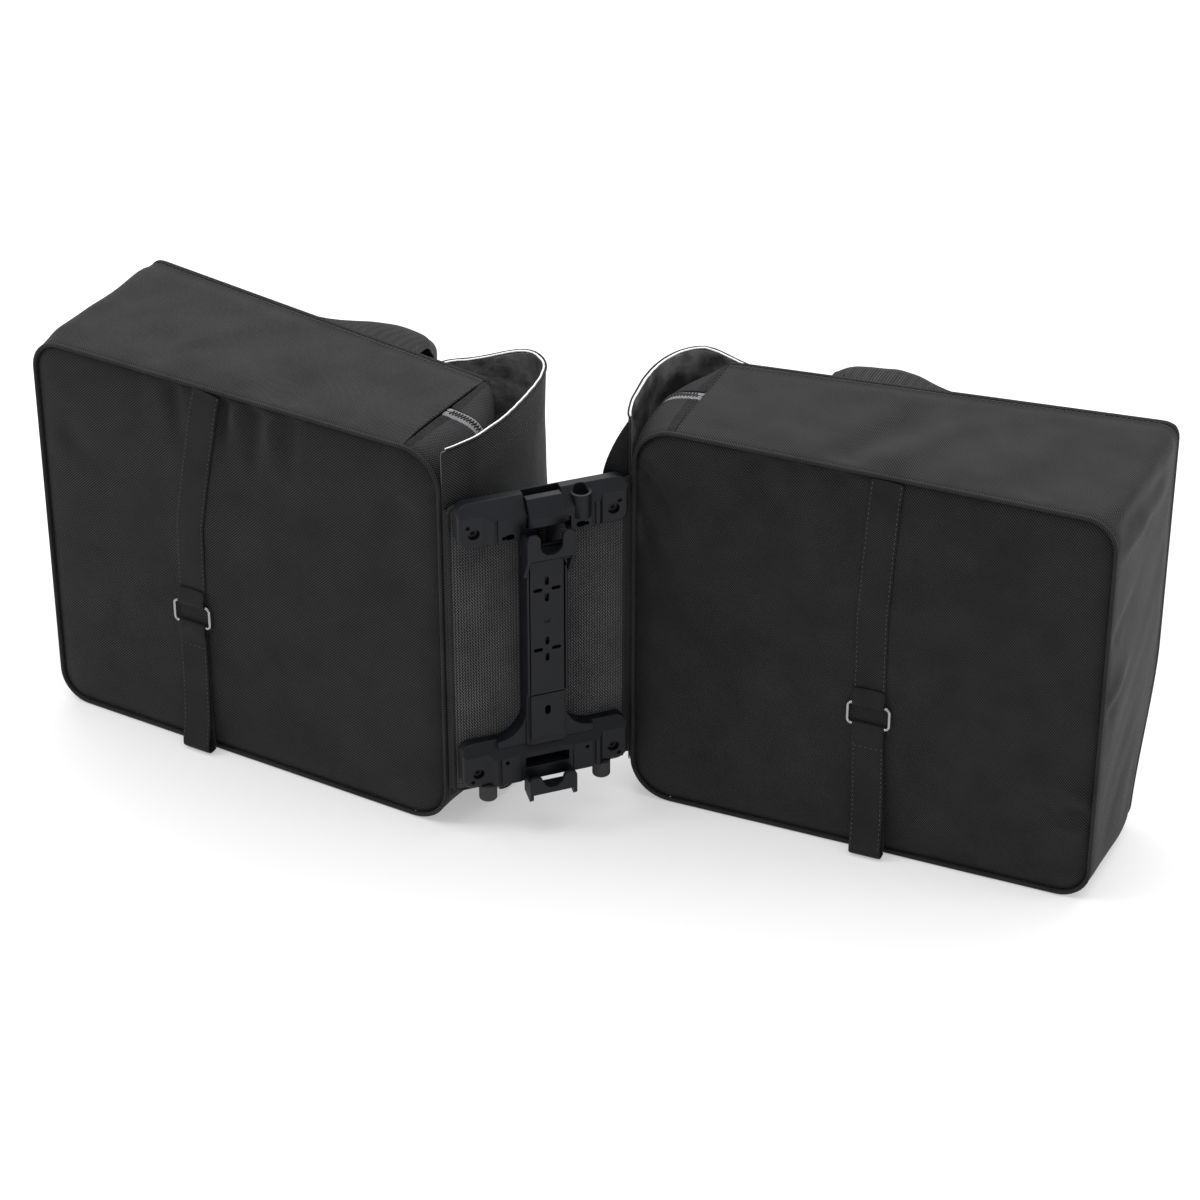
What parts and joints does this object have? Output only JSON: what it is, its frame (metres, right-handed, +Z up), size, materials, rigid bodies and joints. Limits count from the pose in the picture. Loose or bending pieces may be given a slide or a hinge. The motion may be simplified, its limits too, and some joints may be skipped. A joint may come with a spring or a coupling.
{
  "type": "pannier bag",
  "caption": "Double pannier for a bicycle rack: two boxy lidded bags hinged to a fabric bridge with a clip-on plastic rack adapter, standing on end.",
  "frame": {"origin": "on the floor, under the middle of the whole object's box", "axes": "+Z up, along the bicycle; +X along the bridge from the left bag to the right bag; the bridge's rack side faces -Y"},
  "size_m": [0.744, 0.6344, 0.324],
  "materials": {
    "bag_fabric": "fine diagonal twill, dull sheen",
    "bridge_mesh": "coarse ribbed mesh",
    "coated_lining": "shiny coated dark grey",
    "board": "matt board",
    "foam": "open-cell foam",
    "piping": "black cord under a narrow bias tape",
    "reflective": "silver-white reflective piping",
    "webbing": "flat woven webbing, stitched edges",
    "zip_tape": "knitted tape with moulded teeth",
    "zip_metal": "black lacquer",
    "ring_chrome": "bright plated wire",
    "adapter_plastic": "fine-grained blue-grey moulding",
    "steel": "zinc-plated",
    "lock_metal": "dark nickel",
    "rubber": "soft black rubber"
  },
  "bodies": {
    "carrier": {"bridge_fabric": "bridge_mesh", "bridge_board": "board", "bridge_foam": "foam", "bridge_cover": "bag_fabric", "adapter_frame": "adapter_plastic", "rear_hook": "adapter_plastic", "lever_pin": "steel", "adapter_screws": "steel", "adapter_nuts": "steel", "adapter_buffers": "rubber"},
    "jaw": {"jaw": "adapter_plastic", "jaw_spring": "steel"},
    "lever": {"release_lever": "adapter_plastic"},
    "lock": {"lock_barrel": "lock_metal"},
    "left_bag": {"left_back_panel": "bag_fabric", "left_back_board": "board", "left_panel_piping": "piping", "left_outer_panel": "bag_fabric", "left_upper_gusset": "bag_fabric", "left_lower_gusset": "bag_fabric", "left_base_gusset": "bag_fabric", "left_top_frame": "bag_fabric", "left_zip_ends": "zip_tape", "left_pocket": "bag_fabric", "left_strap_upper": "webbing", "left_strap_ring": "ring_chrome", "left_strap_lower": "webbing", "left_fold_web": "bag_fabric"},
    "left_lid": {"left_lid": "bag_fabric", "left_lid_lining": "coated_lining", "left_lid_piping": "reflective"},
    "left_inner_flap": {"left_inner_flap": "bag_fabric", "left_inner_tape": "zip_tape"},
    "left_outer_flap": {"left_outer_flap": "bag_fabric", "left_outer_tape": "zip_tape"},
    "left_slider": {"left_zip_slider": "zip_metal"},
    "left_puller": {"left_zip_puller": "zip_metal"},
    "right_bag": {"right_back_panel": "bag_fabric", "right_back_board": "board", "right_panel_piping": "piping", "right_outer_panel": "bag_fabric", "right_upper_gusset": "bag_fabric", "right_lower_gusset": "bag_fabric", "right_base_gusset": "bag_fabric", "right_top_frame": "bag_fabric", "right_zip_ends": "zip_tape", "right_pocket": "bag_fabric", "right_strap_upper": "webbing", "right_strap_ring": "ring_chrome", "right_strap_lower": "webbing", "right_fold_web": "bag_fabric"},
    "right_lid": {"right_lid": "bag_fabric", "right_lid_lining": "coated_lining", "right_lid_piping": "reflective"},
    "right_inner_flap": {"right_inner_flap": "bag_fabric", "right_inner_tape": "zip_tape"},
    "right_outer_flap": {"right_outer_flap": "bag_fabric", "right_outer_tape": "zip_tape"},
    "right_slider": {"right_zip_slider": "zip_metal"},
    "right_puller": {"right_zip_puller": "zip_metal"}
  },
  "joints": [
    {"name": "lever_tilt", "type": "hinge", "parent": "carrier", "child": "lever", "pos_m": [-0.07085, -0.08108, 0.2685], "axis": [-1, 0, 0], "range_deg": [0, 15.2]},
    {"name": "jaw_slide", "type": "slide", "parent": "carrier", "child": "jaw", "axis": [0, 0, 1], "range_m": [0, 0.0053], "stiffness_N_per_m": 300, "springref_m": -0.004, "deforming": ["jaw_spring"]},
    {"name": "lock_turn", "type": "hinge", "parent": "carrier", "child": "lock", "pos_m": [-0.04235, -0.08058, 0.27], "axis": [0, 0, 1], "range_deg": [0, 90]},
    {"name": "left_bag_fold", "type": "hinge", "parent": "carrier", "child": "left_bag", "pos_m": [-0.14085, -0.06508, 0.16], "axis": [0, 0, 1], "range_deg": [-5, 140.9]},
    {"name": "left_lid_open", "type": "hinge", "parent": "left_bag", "child": "left_lid", "pos_m": [-0.10846, -0.04944, 0.16], "axis": [0, 0, -1], "range_deg": [0, 38]},
    {"name": "left_inner_flap_fold", "type": "hinge", "parent": "left_bag", "child": "left_inner_flap", "pos_m": [-0.13672, -0.05463, 0.16], "axis": [0, 0, 1], "range_deg": [0, 80]},
    {"name": "left_outer_flap_fold", "type": "hinge", "parent": "left_bag", "child": "left_outer_flap", "pos_m": [-0.07322, 0.03087, 0.16], "axis": [0, 0, -1], "range_deg": [0, 80]},
    {"name": "left_zip_slide", "type": "slide", "parent": "left_bag", "child": "left_slider", "axis": [0, 0, 1], "range_m": [0, 0.238]},
    {"name": "left_puller_swing", "type": "hinge", "parent": "left_slider", "child": "left_puller", "pos_m": [-0.09517, -0.02615, 0.041], "axis": [-0.776, -0.6307, 0], "range_deg": [0, 12]},
    {"name": "right_bag_fold", "type": "hinge", "parent": "carrier", "child": "right_bag", "pos_m": [-0.00085, -0.06508, 0.16], "axis": [0, 0, 1], "range_deg": [-46.5, 35]},
    {"name": "right_lid_open", "type": "hinge", "parent": "right_bag", "child": "right_lid", "pos_m": [0.01577, -0.0326, 0.16], "axis": [0, 0, 1], "range_deg": [0, 48]},
    {"name": "right_inner_flap_fold", "type": "hinge", "parent": "right_bag", "child": "right_inner_flap", "pos_m": [0.00988, -0.06175, 0.16], "axis": [0, 0, -1], "range_deg": [0, 80]},
    {"name": "right_outer_flap_fold", "type": "hinge", "parent": "right_bag", "child": "right_outer_flap", "pos_m": [0.1, -0.005, 0.16], "axis": [0, 0, 1], "range_deg": [0, 80]},
    {"name": "right_zip_slide", "type": "slide", "parent": "right_bag", "child": "right_slider", "axis": [0, 0, 1], "range_m": [0, 0.238]},
    {"name": "right_puller_swing", "type": "hinge", "parent": "right_slider", "child": "right_puller", "pos_m": [0.04146, -0.02252, 0.041], "axis": [0.6884, 0.7254, 0], "range_deg": [0, 12]}
  ],
  "couplings": [
    {"joint": "lever_tilt", "follows": "jaw_slide", "rad_per_m": 50}
  ]
}
